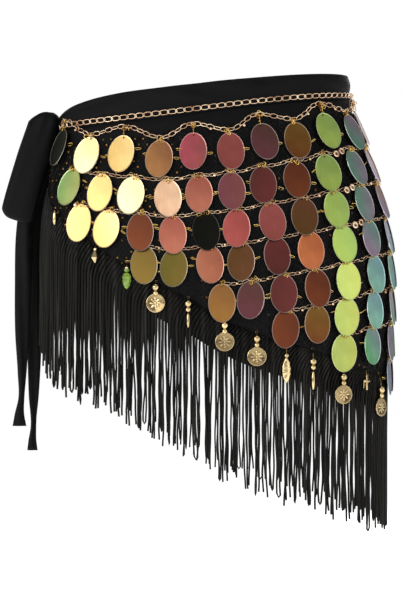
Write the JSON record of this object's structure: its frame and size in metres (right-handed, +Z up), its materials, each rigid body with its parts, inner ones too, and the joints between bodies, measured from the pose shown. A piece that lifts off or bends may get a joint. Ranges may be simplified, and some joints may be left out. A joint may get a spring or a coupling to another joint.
{
  "type": "belly dance hip scarf",
  "caption": "Worn hip scarf: tied jersey waistband, triangular net panel with rows of oval mirror discs on chains, coins at the hem and a long corded fringe.",
  "frame": {"origin": "middle of the waistband's ring, where the wearer's hips hold it", "axes": "+Z up along the wearer, -Y the front, +X the hip with the panel's point, -X the hip with the knot"},
  "size_m": [0.4145, 0.2565, 0.4713],
  "materials": {
    "jersey": "soft matt black jersey",
    "net": "black fine net",
    "fringe": "black twisted cord with a slight sheen",
    "gold": "pale polished gold",
    "mirror_disc": "brushed metallised plastic whose hue drifts from gold through copper to green and lilac",
    "green_crystal": "cut green crystal"
  },
  "bodies": {
    "root": {"waistband": "jersey", "net_panel": "net", "fringe_front": "fringe", "fringe_back": "fringe", "main_chain": "gold", "disc_row_1": "mirror_disc", "disc_row_2": "mirror_disc", "disc_row_3": "mirror_disc", "disc_row_4": "mirror_disc", "disc_row_5": "mirror_disc", "disc_row_6": "mirror_disc", "disc_row_7": "mirror_disc", "disc_row_8": "mirror_disc", "drop_gold_front": "gold", "drop_gold_back": "gold", "drop_crystal_front": "gold", "drop_crystal_back": "gold", "drop_green_front": "green_crystal", "drop_green_back": "green_crystal", "coin_1_front": "gold", "coin_1_back": "gold", "stick_1_front": "gold", "stick_1_back": "gold", "coin_2_front": "gold", "coin_2_back": "gold", "coin_3_front": "gold", "coin_3_back": "gold", "leaf_1_front": "gold", "leaf_1_back": "gold", "stick_2_front": "gold", "stick_2_back": "gold", "coin_4_front": "gold", "coin_4_back": "gold", "cross_1_front": "gold", "cross_1_back": "gold", "coin_5_front": "gold", "coin_5_back": "gold", "knot": "jersey", "bow_loop": "jersey", "tail_short": "jersey", "tail_long": "jersey"}
  },
  "joints": []
}
